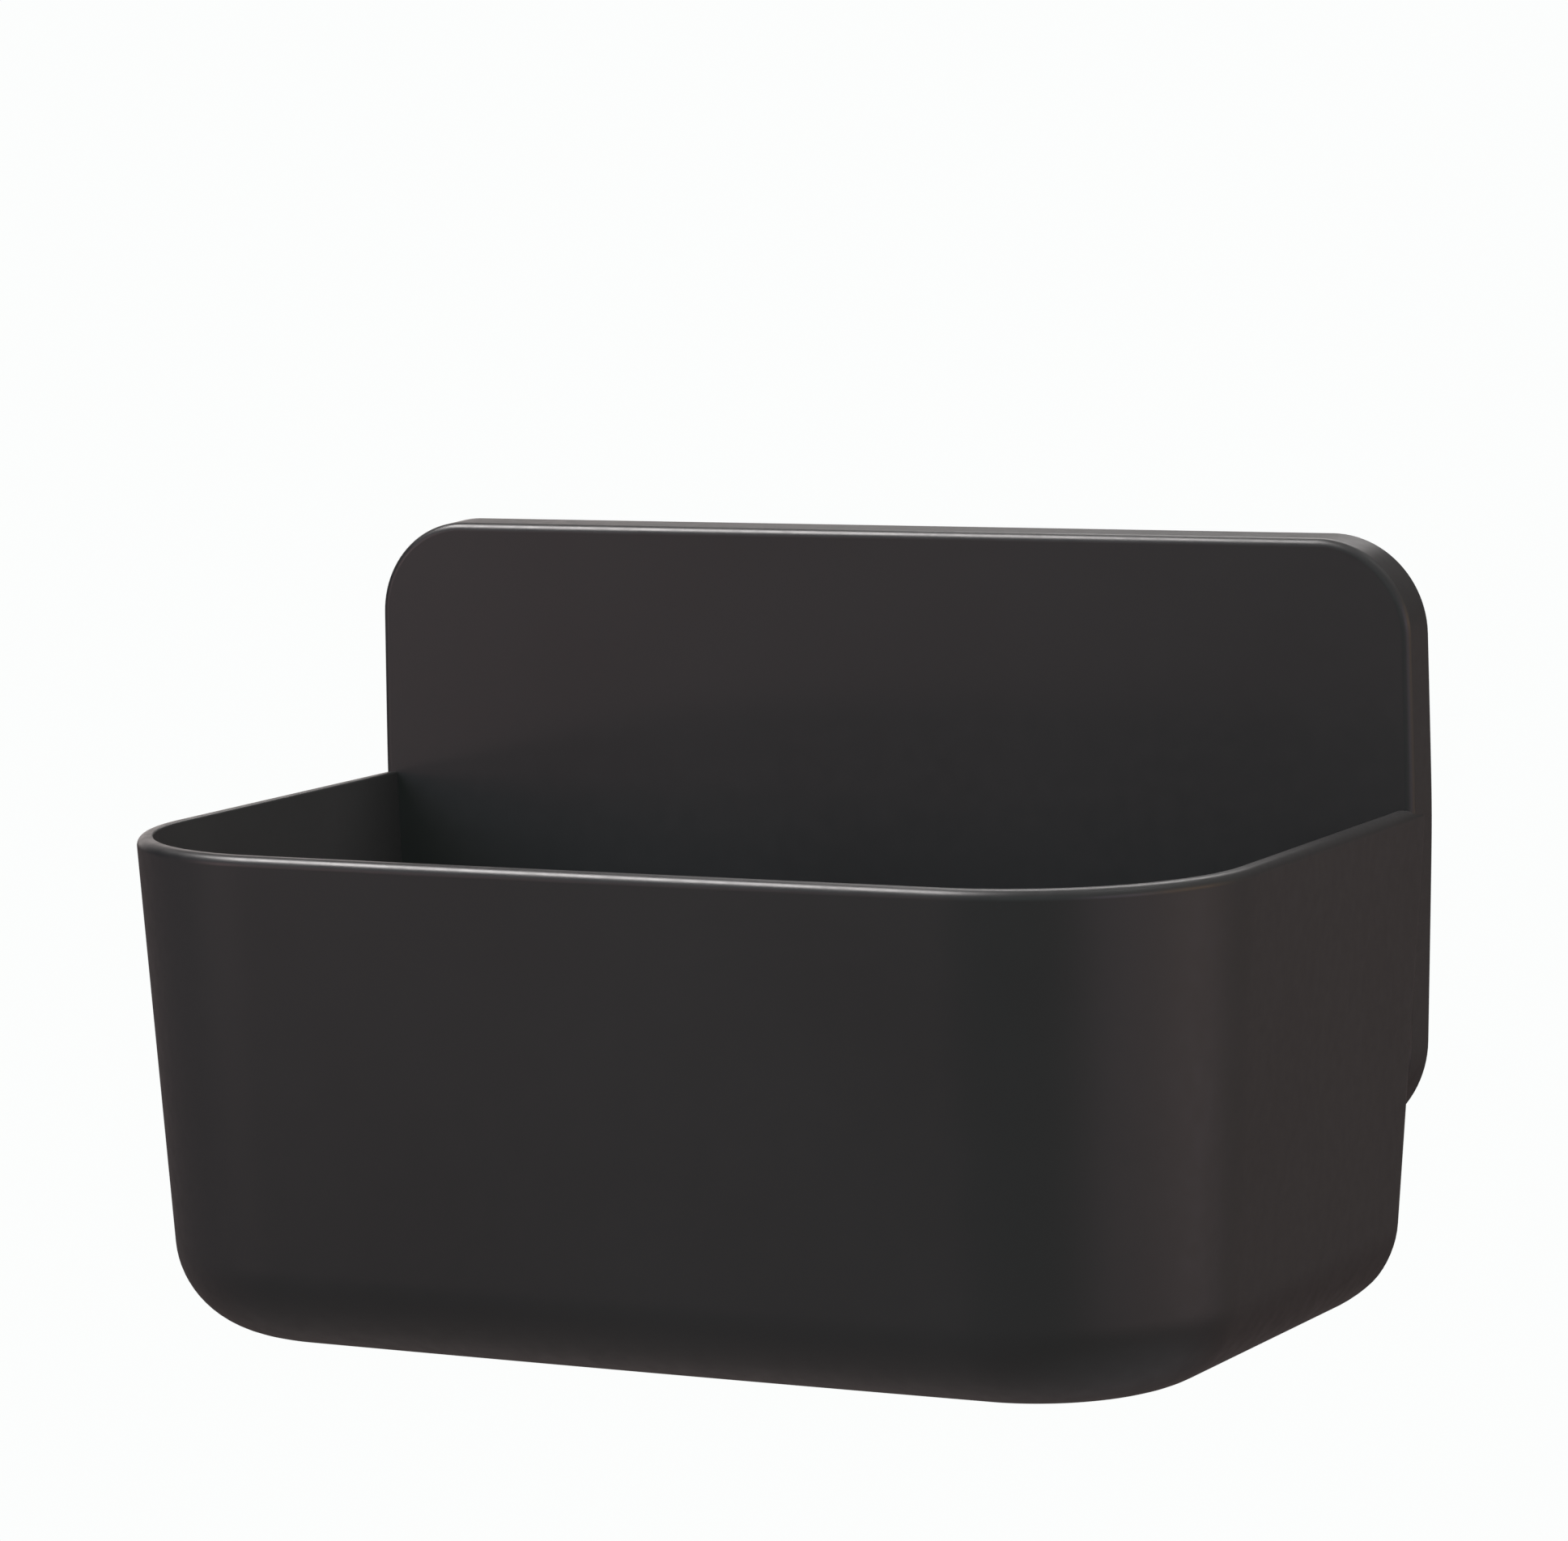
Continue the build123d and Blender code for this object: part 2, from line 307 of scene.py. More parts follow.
def turned(name: str, centre: Pair, depths: Array, radii: Array, around: int = 48) -> Object:
    """Turn a profile about an axis that runs into the wall.

    A point at angle t is (x + r cos t, depth, z + r sin t).

    Args:
        name: The new object's name.
        centre: X and Z of the axis.
        depths: The profile's depths.
        radii: The profile's radii, one for each depth.
        around: Points around the axis.

    Returns:
        The closed solid.
    """
    t = np.linspace(0, 2 * np.pi, around, endpoint=False)
    x = centre[0] + np.outer(radii, np.cos(t))
    z = centre[1] + np.outer(radii, np.sin(t))
    y = np.broadcast_to(np.asarray(depths, float)[:, None], x.shape)
    return skin(name, np.stack([x, y, z], 2))


def round_bar(
    name: str, centre: Pair, radius: float, start: float, end: float, rounds: Pair
) -> Object:
    """A round bar or a round cutter along Y, with rounded or flared ends."""
    levels, inset = prism_levels(start, end, *rounds)
    return turned(name, centre, levels, radius - inset)


def bake_modifiers(piece: Object) -> None:
    """Replace a piece's mesh with what its modifiers make of it."""
    bpy.context.view_layer.update()
    evaluated = piece.evaluated_get(bpy.context.evaluated_depsgraph_get())
    mesh = bpy.data.meshes.new_from_object(evaluated)
    piece.modifiers.clear()
    old = piece.data
    piece.data = mesh
    bpy.data.meshes.remove(old)
    mesh.name = piece.name


def combine(piece: Object, tools: Sequence[Object], cut: Cut) -> Object:
    """Join solids to a piece, or remove them from it, and delete them.

    Args:
        piece: The solid that is kept.
        tools: Closed solids, each used once.
        cut: Whether they are joined or removed.

    Returns:
        The same piece.
    """
    for tool in tools:
        step = piece.modifiers.new("combine", "BOOLEAN")
        step.object = tool
        step.operation = cut.value
        step.solver = "MANIFOLD"
        bake_modifiers(piece)
        bpy.data.objects.remove(tool)
    return piece


def smooth(piece: Object, sharp_above: float = 40.0) -> None:
    """Shade a piece smooth, keep edges above an angle sharp, and let large faces rule the normals.

    Args:
        piece: The piece.
        sharp_above: Edges that turn by more than this many degrees stay sharp.
    """
    piece.data.polygons.foreach_set("use_smooth", np.ones(len(piece.data.polygons), bool))
    piece.data.set_sharp_from_angle(angle=np.radians(sharp_above))
    weighted = piece.modifiers.new("face_weighted_normals", "WEIGHTED_NORMAL")
    weighted.keep_sharp = True
    weighted.weight = 100
    bake_modifiers(piece)


def settle(piece: Object, name: str, node: str, body: Body, finish: "Finish") -> Object:
    """Smooth and dress a finished piece, put it on its body and let it stand for its CAD node.

    Args:
        piece: The finished piece.
        name: Its name.
        node: The CAD node that it replaces.
        body: The CAD body that it moves with.
        finish: Its finish.

    Returns:
        The same piece.
    """
    piece.name = name
    smooth(piece)
    piece.data.materials.clear()
    piece.data.materials.append(finish.material())
    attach(piece, body.value)
    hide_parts(node)
    LOG.info("%s: %d faces, on %s, for %s", name, len(piece.data.polygons), body.value, node)
    return piece


def node_box(node: str) -> tuple[Array, Array]:
    """A CAD node's lowest and highest corners, in millimetres."""
    low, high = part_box(node)
    return np.array(low) / MM, np.array(high) / MM


# ---------------------------------------------------------------- finishes


@dataclass(frozen=True)
class Finish:
    """A finish whose colour and gloss drift slowly over the surface, with a fine even relief.

    Attributes:
        slot: The record's material slot.
        dark: Linear colour in the darker patches.
        light: Linear colour in the lighter patches.
        gloss: Roughness in the glossier and the duller patches.
        relief: Size of the relief's features, in millimetres.
        relief_height: Height of the relief, in millimetres.
        drift: Size of the patches, in millimetres.
        metallic: Whether it is bare metal.
        specular: How strongly the skin reflects.
        translucency: How much light goes into the material.
        stretch: How much finer the relief is along X, Y and Z.
        mottle: How much finer the drift of the gloss is than that of the colour.
        depth: How far light goes into the material, in millimetres.
    """

    slot: str
    dark: Triple
    light: Triple
    gloss: Pair
    relief: float
    relief_height: float
    drift: float = 70.0
    metallic: float = 0.0
    specular: float = 0.5
    translucency: float = 0.0
    stretch: Triple = (1.0, 1.0, 1.0)
    mottle: float = 18.0
    depth: float = 1.5

    def material(self) -> Material:
        """The material of this finish, made the first time that it is asked for."""
        name = f"{self.slot}_finish"
        return bpy.data.materials.get(name) or self.build(name)

    def build(self, name: str) -> Material:
        """Make the material: slow noise mixes its colours, finer noise its gloss, and fine noise lifts it."""
        material, nodes, links, shader = blank_material(name)
        place = nodes.new("ShaderNodeTexCoord")
        spread = nodes.new("ShaderNodeMapping")
        spread.inputs["Scale"].default_value = self.stretch
        patches = noise(nodes, 1 / (self.drift * MM), 3.0)
        mottle = noise(nodes, self.mottle / (self.drift * MM), 4.0)
        grain = noise(nodes, 1 / (self.relief * MM), 2.0)
        colour = nodes.new("ShaderNodeValToRGB")
        low, high = colour.color_ramp.elements
        low.position, high.position = 0.35, 0.65
        low.color, high.color = (*self.dark, 1.0), (*self.light, 1.0)
        gloss = nodes.new("ShaderNodeMapRange")
        gloss.inputs["From Min"].default_value = 0.3
        gloss.inputs["From Max"].default_value = 0.7
        gloss.inputs["To Min"].default_value = self.gloss[0]
        gloss.inputs["To Max"].default_value = self.gloss[1]
        bump = nodes.new("ShaderNodeBump")
        bump.inputs["Strength"].default_value = 0.6
        bump.inputs["Distance"].default_value = self.relief_height * MM
        links.new(place.outputs["Object"], spread.inputs["Vector"])
        links.new(spread.outputs["Vector"], grain.inputs["Vector"])
        for texture in (patches, mottle):
            links.new(place.outputs["Object"], texture.inputs["Vector"])
        links.new(patches.outputs["Fac"], colour.inputs["Fac"])
        links.new(colour.outputs["Color"], shader.inputs["Base Color"])
        links.new(mottle.outputs["Fac"], gloss.inputs["Value"])
        links.new(gloss.outputs["Result"], shader.inputs["Roughness"])
        links.new(grain.outputs["Fac"], bump.inputs["Height"])
        links.new(bump.outputs["Normal"], shader.inputs["Normal"])
        shader.inputs["Metallic"].default_value = self.metallic
        shader.inputs["Specular IOR Level"].default_value = self.specular
        shader.inputs["Subsurface Weight"].default_value = self.translucency
        shader.inputs["Subsurface Scale"].default_value = self.depth * MM
        return material


def blank_material(name: str) -> tuple[Material, bpy.types.Nodes, bpy.types.NodeLinks, bpy.types.Node]:
    """Make a node material and return it with its nodes, its links and its main shader."""
    material = bpy.data.materials.new(name)
    material.use_nodes = True
    tree = material.node_tree
    return material, tree.nodes, tree.links, tree.nodes["Principled BSDF"]


def noise(nodes: bpy.types.Nodes, scale: float, detail: float) -> bpy.types.Node:
    """Add a noise texture; scale is in features for each metre."""
    texture = nodes.new("ShaderNodeTexNoise")
    texture.inputs["Scale"].default_value = scale
    texture.inputs["Detail"].default_value = detail
    return texture


SHELL_PLASTIC = Finish(
    "shell_plastic", (0.0215, 0.0200, 0.0200), (0.0235, 0.0220, 0.0220), (0.34, 0.42), 0.30, 0.003,
)
HANGER_PLASTIC = Finish(
    "hanger_plastic", (0.042, 0.041, 0.041), (0.048, 0.047, 0.047), (0.42, 0.55), 0.25, 0.008, 40.0,
)
SCREW_STEEL = Finish(
    "screw_steel", (0.58, 0.58, 0.57), (0.66, 0.66, 0.65), (0.22, 0.36), 0.12, 0.004, 6.0,
    metallic=1.0, stretch=(1.0, 6.0, 1.0),
)
WALL_PLATE_PLASTIC = Finish(
    "wall_plate_plastic", (0.75, 0.76, 0.75), (0.80, 0.81, 0.80), (0.30, 0.42), 0.30, 0.005, 50.0,
    translucency=0.12,
)
STRIP_FOAM = Finish(
    "strip_foam", (0.82, 0.83, 0.82), (0.89, 0.90, 0.89), (0.70, 0.85), 0.18, 0.05, 9.0,
    specular=0.25, translucency=0.1,
)
BUMPER_RUBBER = Finish(
    "bumper_rubber", (0.105, 0.105, 0.105), (0.135, 0.135, 0.135), (0.60, 0.75), 0.15, 0.012, 5.0,
)


# ---------------------------------------------------------------- the shell


@dataclass
class BackPanel:
    """The tall rounded panel behind the basket, and the skirt that returns from its edge to the wall."""

    top: float
    rear: float
    bottom: float = 36.8
    half_width: float = 138.75
    parting_height: float = 118.0
    draft_above: float = 0.0157
    draft_below: float = 0.0292
    parting_softness: float = 8.0
    top_radius: float = 23.2
    bottom_radius: float = 25.0
    depth: float = 12.0
    thickness: float = 2.8
    skirt_draft: float = 1.9
    front_edge: float = 2.0
    rear_edge: float = 0.6
    mouth_edge: float = 0.4
    inner_corner: float = 1.2
    counts: LoopCounts = LoopCounts(low=24, low_corner=24, side=34, high_corner=24, high=24)

    @property
    def face(self) -> float:
        """Depth of the panel's face."""
        return self.rear - self.depth

    @property
    def back(self) -> float:
        """Depth of the panel's back, inside the skirt."""
        return self.face + self.thickness

    def half_width_at(self, z: Array) -> Array:
        """Half the panel's width at a height: widest at the parting line, narrowing softly both ways."""
        away = z - self.parting_height
        slope = np.where(away > 0, self.draft_above, self.draft_below)
        return self.half_width - slope * (np.hypot(away, self.parting_softness) - self.parting_softness)

    def rings(self, depth: Array, inset: Array) -> Array:
        """Outlines of the panel, each standing at a depth and moved in by an inset.

        A rounded rectangle between top and bottom, whose x is scaled by the width at its height. The
        skirt's draft moves it in further, the further it stands from the wall.
        """
        inset = inset + (self.rear - depth) * np.tan(np.radians(self.skirt_draft))
        flat = rounded_loops(
            self.half_width - inset,
            self.bottom + inset,
            self.top - inset,
            self.bottom_radius - inset,
            self.top_radius - inset,
            self.counts,
        )
        x, z = flat[..., 0], flat[..., 1]
        x = x * self.half_width_at(z) / self.half_width
        return np.stack([x, np.broadcast_to(depth[:, None], x.shape), z], 2)

    def block(self) -> Object:
        """The panel and skirt before they are hollowed, with a rounded front edge."""
        depth, inset = prism_levels(self.face, self.rear, self.front_edge, self.rear_edge, 8)
        return skin("panel_block", self.rings(depth, inset))

    def hollow(self) -> Object:
        """The space behind the panel, with a soft mouth and a rounded inner corner."""
        depth, inset = prism_levels(self.rear, self.back, -self.mouth_edge, self.inner_corner)
        return skin("panel_hollow", self.rings(depth, inset + self.thickness))


@dataclass
class Basket:
    """The deep basket: drafted walls, large front corners, a rounded base and a softly rounded rim."""

    panel: BackPanel
    front: float
    rim_height: float = 118.0
    half_width: float = 140.0
    front_bow: float = 1.1
    side_draft: float = 4.0
    front_draft: float = 3.85
    rear_draft: float = 8.0
    rim_radius: float = 53.2
    base_radius: float = 44.5
    rear_radius: float = 5.5
    least_rear_radius: float = 1.0
    inner_rear_radius: float = 0.3
    base_rounding: float = 21.1
    wall: float = 4.0
    floor: float = 3.2
    rim_outer: float = 2.4
    rim_inner: float = 0.5
    tuck: float = 0.3
    counts: LoopCounts = LoopCounts(low=26, low_corner=36, side=28, high_corner=8, high=20)

    def rear_outside(self, z: Array) -> Array:
        """Depth of the basket's rear wall, outside, at a height."""
        lean = (self.rim_height - z) * np.tan(np.radians(self.rear_draft))
        return self.panel.rear - self.tuck - lean

    def rings(self, z: Array, inset: Array, rear: Array, rear_radius: Array) -> Array:
        """Outlines of the basket seen from above, one for each height.

        A rounded rectangle whose corner radius and width shrink towards the base. Its x is scaled along
        its depth, so that the sides end flush with the skirt, and its front bulges by a shallow parabola.

        Args:
            z: Heights.
            inset: How far each outline is moved in.
            rear: Depth of each outline's rear edge.
            rear_radius: Radius of each outline's rear corners.

        Returns:
            Points with shape (heights, points, 3).
        """
        drop = self.rim_height - z
        half = self.half_width - drop * np.tan(np.radians(self.side_draft)) - inset
        half_rear = self.panel.half_width_at(z) - inset
        lean = np.tan(np.radians(self.front_draft))
        front = self.front + self.front_bow - self.rim_outer * lean + drop * lean + inset
        radius = self.rim_radius - (self.rim_radius - self.base_radius) * drop / self.rim_height - inset
        flat = rounded_loops(half, front, rear, radius, rear_radius, self.counts)
        x, y = flat[..., 0], flat[..., 1]
        forward = np.clip((rear[:, None] - y) / (rear - front)[:, None], 0, 1)
        narrow = (half_rear / half)[:, None]
        x = x * (narrow + (1 - narrow) * forward)
        y = y - self.front_bow * (1 - (x / half[:, None]) ** 2) * forward**4
        return np.stack([x, y, np.broadcast_to(z[:, None], x.shape)], 2)

    def outside(self) -> tuple[Array, Array]:
        """Heights and insets up the outside, from the underside to the top of the rim."""
        base, rim = arc(90, 0, 18), arc(0, 90, 10)
        wall = np.linspace(self.base_rounding, self.rim_height - self.rim_outer, 16)[1:-1]
        rim_z = self.rim_height - self.rim_outer * (1 - np.sin(rim))
        z = [self.base_rounding * (1 - np.sin(base)), wall, rim_z]
        inset = [self.base_rounding * (1 - np.cos(base)), 0 * wall, self.rim_outer * (1 - np.cos(rim))]
        return np.concatenate(z), np.concatenate(inset)

    def inside(self) -> tuple[Array, Array]:
        """Heights and insets down the inside, from the top of the rim to the floor.

        One height is the knee, where the rear wall leaves the panel's face and leans forward.
        """
        rim, foot = arc(90, 0, 5), arc(0, 90, 14)
        turn = self.base_rounding - self.wall
        reach = self.panel.rear - self.tuck - self.wall - (self.panel.face + self.tuck)
        knee = self.rim_height - reach / np.tan(np.radians(self.rear_draft))
        straight = np.linspace(self.rim_height - self.rim_inner, self.floor + turn, 16)[1:-1]
        wall = np.sort(np.append(straight, knee))[::-1]
        rim_z = self.rim_height - self.rim_inner * (1 - np.sin(rim))
        z = [rim_z, wall, self.floor + turn * (1 - np.sin(foot))]
        inset = [-self.rim_inner * (1 - np.cos(rim)), 0 * wall, turn * (1 - np.cos(foot))]
        return np.concatenate(z), self.wall + np.concatenate(inset)

    def cup(self) -> Object:
        """The whole basket as one closed skin, from the underside over the rim to the floor."""
        z_out, inset_out = self.outside()
        z_in, inset_in = self.inside()
        rear_out = self.rear_outside(z_out) - inset_out
        rear_in = np.minimum(self.panel.face + self.tuck, self.rear_outside(z_in) - self.wall)
        rear_in = rear_in - (inset_in - self.wall)
        radius_out = np.maximum(self.rear_radius - inset_out, self.least_rear_radius)
        radius_in = np.full_like(z_in, self.inner_rear_radius)
        levels = ([z_out, z_in], [inset_out, inset_in], [rear_out, rear_in], [radius_out, radius_in])
        return skin("basket_cup", self.rings(*(np.concatenate(pair) for pair in levels)))


@dataclass
class DrainSlots:
    """The grid of soft-edged slots that lets water out of the floor."""

    length: float = 26.0
    width: float = 5.0
    pitch: Pair = (42.0, 27.0)
    count: tuple[int, int] = (5, 4)
    middle: float = -88.0
    floor: float = 3.2
    soft_edge: float = 0.7
    counts: LoopCounts = LoopCounts(low=3, low_corner=8, side=1, high_corner=8, high=3)

    def cutters(self) -> list[Object]:
        """One closed cutter for each slot: a stadium that flares by a quarter round at both faces."""
        across = self.width / 2
        x = (np.arange(self.count[0]) - (self.count[0] - 1) / 2) * self.pitch[0]
        y = self.middle + (np.arange(self.count[1]) - (self.count[1] - 1) / 2) * self.pitch[1]
        half, soft = self.length / 2, -self.soft_edge
        slots = [
            Slab(half, cy - across, cy + across, across, across, cx, False, self.counts)
            for cx in x.tolist()
            for cy in y.tolist()
        ]
        return [slot.solid("drain_slot", 0.0, self.floor, soft, soft) for slot in slots]


def around_middle(middle: Pair, spread: Pair) -> list[Pair]:
    """The four corners of a rectangle, given its middle and half its width and height."""
    return [(middle[0] + i * spread[0], middle[1] + j * spread[1]) for i in (-1, 1) for j in (-1, 1)]


@dataclass
class HangerFixing:
    """Where each hanger plate is fastened behind the panel, and the bosses and ribs that hold it.

    Attributes:
        spread: Distance of the screws from the plate's middle, in X and Z.
        boss: Radius of a screw's boss.
        pilot: Radius of a screw's hole.
        pilot_depth: Depth of a screw's hole.
        rib_x: Distance of the guide ribs from the plate's middle.
        rib: Thickness and height of a guide rib.
        rib_corner: Radius of a guide rib's corners.
        root_fillet: Radius where a boss or rib meets the panel.
        soft_edge: Radius at a boss's or rib's end.
    """

    spread: Pair = (28.0, 13.0)
    boss: float = 3.6
    pilot: float = 1.43
    pilot_depth: float = 2.9
    rib_x: float = 14.8
    rib: Pair = (2.0, 30.0)
    rib_corner: float = 0.9
    root_fillet: float = 0.6
    soft_edge: float = 0.3

    def screw_places(self, middle: Pair) -> list[Pair]:
        """X and Z of the four screws round a plate's middle."""
        return around_middle(middle, self.spread)

    def add_to(self, shell: Object, panel: BackPanel, plate: tuple[Array, Array]) -> None:
        """Grow the bosses and ribs from the panel's back to the plate's front, and drill the bosses.

        Args:
            shell: The moulding that they are part of.
            panel: The back panel.
            plate: The hanger plate's lowest and highest corners.
        """
        low, high = plate
        end = low[1]
        middle = ((low[0] + high[0]) / 2, (low[2] + high[2]) / 2)
        rounds = (-self.root_fillet, self.soft_edge)
        holes = (-self.soft_edge, 0.0)
        half, tall = self.rib[0] / 2, self.rib[1] / 2
        edges = (middle[1] - tall, middle[1] + tall, self.rib_corner, self.rib_corner)
        slabs = [Slab(half, *edges, middle[0] + x) for x in (-self.rib_x, self.rib_x)]
        places = self.screw_places(middle)
        bottom = end - self.pilot_depth
        bosses = [root_bar("boss", place, self.boss, panel.back, end, rounds) for place in places]
        ribs = [root_slab(slab, panel.back, end, rounds) for slab in slabs]
        drills = [round_bar("pilot", place, self.pilot, end, bottom, holes) for place in places]
        combine(shell, bosses + ribs, Cut.JOIN)
        combine(shell, drills, Cut.REMOVE)


def root_bar(
    name: str, centre: Pair, radius: float, start: float, end: float, rounds: Pair
) -> Object:
    """A round boss that grows out of a surface: a concave fillet at its root, sunk slightly into it."""
    levels, inset = root_levels(start, end, rounds)
    return turned(name, centre, levels, radius - inset)


def root_slab(slab: Slab, start: float, end: float, rounds: Pair) -> Object:
    """A rib that grows out of a surface: a concave fillet at its root, sunk slightly into it."""
    return slab.carry("rib", *root_levels(start, end, rounds))


def root_levels(start: float, end: float, rounds: Pair) -> tuple[Array, Array]:
    """Levels of a boss or rib: prism_levels, whose overshoot at the root is cut back to a shallow sink."""
    levels, inset = prism_levels(start, end, *rounds, steps=4)
    levels[0] = start - np.sign(end - start) * SINK
    return levels, inset


@dataclass
class BumperSocket:
    """The round boss behind the panel that takes a bumper's stem."""

    boss: float = 5.0
    hole: float = 2.53
    hole_depth: float = 4.9
    root_fillet: float = 0.8
    soft_edge: float = 0.3

    def add_to(self, shell: Object, panel: BackPanel, place: Pair, end: float) -> None:
        """Grow one boss from the panel's back to the bumper's head, and drill it."""
        rounds, holes = (-self.root_fillet, self.soft_edge), (-self.soft_edge, 0.0)
        boss = root_bar("socket", place, self.boss, panel.back, end, rounds)
        drill = round_bar("socket_hole", place, self.hole, end, end - self.hole_depth, holes)
        combine(shell, [boss], Cut.JOIN)
        combine(shell, [drill], Cut.REMOVE)


# ---------------------------------------------------------------- the hardware


@dataclass
class HangerPlate:
    """A slotted plate behind the panel that drops over a tongue on the wall."""

    side: Side
    corner: float = 3.0
    edge: float = 0.4
    slot_width: float = 13.0
    slot_height: float = 22.0
    slot_corner: float = 1.0
    mouth_chamfer: float = 1.5
    mouth_overlap: float = 0.01
    screw_hole: float = 1.7

    @property
    def node(self) -> str:
        """The CAD node's name."""
        return f"{self.side.name.lower()}_hanger_plate"

    def build(self, fixing: HangerFixing) -> Object:
        """Cut the slot, its flared mouth and the screw holes from a rounded plate."""
        low, high = node_box(self.node)
        middle = ((low[0] + high[0]) / 2, (low[2] + high[2]) / 2)
        half = (high[0] - low[0]) / 2
        plate = Slab(half, low[2], high[2], self.corner, self.corner, middle[0]).solid(
            "plate", low[1], high[1], self.edge, self.edge
        )
        slot_half, slot_top = self.slot_width / 2, low[2] + self.slot_height
        corner, soft = self.slot_corner, -self.edge / 2
        slot = Slab(slot_half, low[2] - OVERSHOOT, slot_top, corner, corner, middle[0])
        slot_cut = slot.solid("slot", low[1], high[1], -self.edge, -self.edge)
        holes = [
            round_bar("hole", place, self.screw_hole, low[1], high[1], (soft, soft))
            for place in fixing.screw_places(middle)
        ]
        combine(plate, [slot_cut, self.mouth(middle[0], low, high), *holes], Cut.REMOVE)
        return settle(plate, f"{self.node}_moulding", self.node, Body.CADDY, HANGER_PLASTIC)

    def mouth(self, middle: float, low: Array, high: Array) -> Object:
        """A wedge that widens the slot's mouth: a level rectangle that is wider the lower it is."""
        z = np.array([-OVERSHOOT, 0.0, self.mouth_chamfer])
        half = self.slot_width / 2 + self.mouth_chamfer - z
        half[-1] = self.slot_width / 2 - self.mouth_overlap
        radius, counts = LEAST_RADIUS, LoopCounts(1, 1, 1, 1, 1)
        flat = rounded_loops(half, low[1] - OVERSHOOT, high[1] + OVERSHOOT, radius, radius, counts)
        x = flat[..., 0] + middle
        return skin("mouth", np.stack([x, flat[..., 1], np.broadcast_to(low[2] + z[:, None], x.shape)], 2))


@dataclass
class HangerScrews:
    """Four pan-head screws with cross recesses, driven from the wall side into the shell's bosses."""

    side: Side
    head_radius: float = 2.8
    head_height: float = 1.5
    head_edge: Pair = (0.12, 0.25)
    head_dome: float = 62.0
    head_fullness: float = 0.8
    shank: float = 1.02
    crest: float = 1.4
    pitch: float = 1.1
    thread_sharpness: float = 3.0
    thread_end: float = 0.4
    tip: float = 0.9
    tip_share: float = 0.72
    recess: Pair = (1.45, 0.38)
    recess_depth: float = 0.9
    recess_corner: float = 0.12
    recess_rounds: Pair = (-0.1, 0.15)
    around: int = 40
    along: int = 72

    @property
    def node(self) -> str:
        """The CAD node's name."""
        return f"{self.side.name.lower()}_hanger_screws"

    def build(self, fixing: HangerFixing) -> Object:
        """Make the four screws as one group of separate solids."""
        low, high = node_box(self.node)
        middle = ((low[0] + high[0]) / 2, (low[2] + high[2]) / 2)
        first, *rest = [self.screw(place, low[1], high[1]) for place in fixing.screw_places(middle)]
        combine(first, rest, Cut.JOIN)
        return settle(first, f"{self.node}_set", self.node, Body.CADDY, SCREW_STEEL)

    def screw(self, place: Pair, tip: float, top: float) -> Object:
        """One screw: a threaded shank, a domed head and a cross recess."""
        screw = self.threaded_shank(place, tip, top - self.head_height + SINK)
        dome = arc(0, self.head_dome, 7)
        seat = top - self.head_height
        edge_in, edge_up = self.head_edge
        rise = self.head_height * np.sin(dome) / np.sin(dome[-1])
        depths = np.concatenate([[seat], seat + edge_up + rise * (1 - edge_up / self.head_height)])
        radii = self.head_radius * np.cos(dome) ** self.head_fullness
        radii = np.concatenate([[self.head_radius - edge_in], radii])
        head = turned("head", place, depths, radii)
        combine(screw, [head], Cut.JOIN)
        bottom, corner = top - self.recess_depth, self.recess_corner
        for half, tall in (self.recess, self.recess[::-1]):
            edges = (place[1] - tall, place[1] + tall, corner, corner)
            wing = Slab(half, *edges, place[0], counts=LoopCounts(1, 2, 1, 2, 1))
            combine(screw, [wing.solid("wing", top, bottom, *self.recess_rounds)], Cut.REMOVE)
        return screw

    def threaded_shank(self, place: Pair, tip: float, end: float) -> Object:
        """A shank whose radius follows a helical ridge.

        At angle t and depth y the phase is 2 pi y / pitch - t; the radius is the shank's plus the ridge's
        height times ((1 + cos of the phase) / 2) to a power, and it tapers in and out at the thread's
        ends. The shank itself thins towards its tip.
        """
        t = np.linspace(0, 2 * np.pi, self.around, endpoint=False)
        y = np.linspace(tip, end, self.along)
        phase = 2 * np.pi * y[:, None] / self.pitch - t
        ridge = ((1 + np.cos(phase)) / 2) ** self.thread_sharpness
        from_tip = np.clip((y - tip) / self.tip, 0, 1)
        fade = from_tip * np.clip((end - SINK - y) / self.thread_end, 0, 1)
        core = self.shank * (self.tip_share + (1 - self.tip_share) * from_tip)
        radius = core[:, None] + (self.crest - self.shank) * ridge * fade[:, None]
        x, z = place[0] + radius * np.cos(t), place[1] + radius * np.sin(t)
        return skin("shank", np.stack([x, np.broadcast_to(y[:, None], x.shape), z], 2))


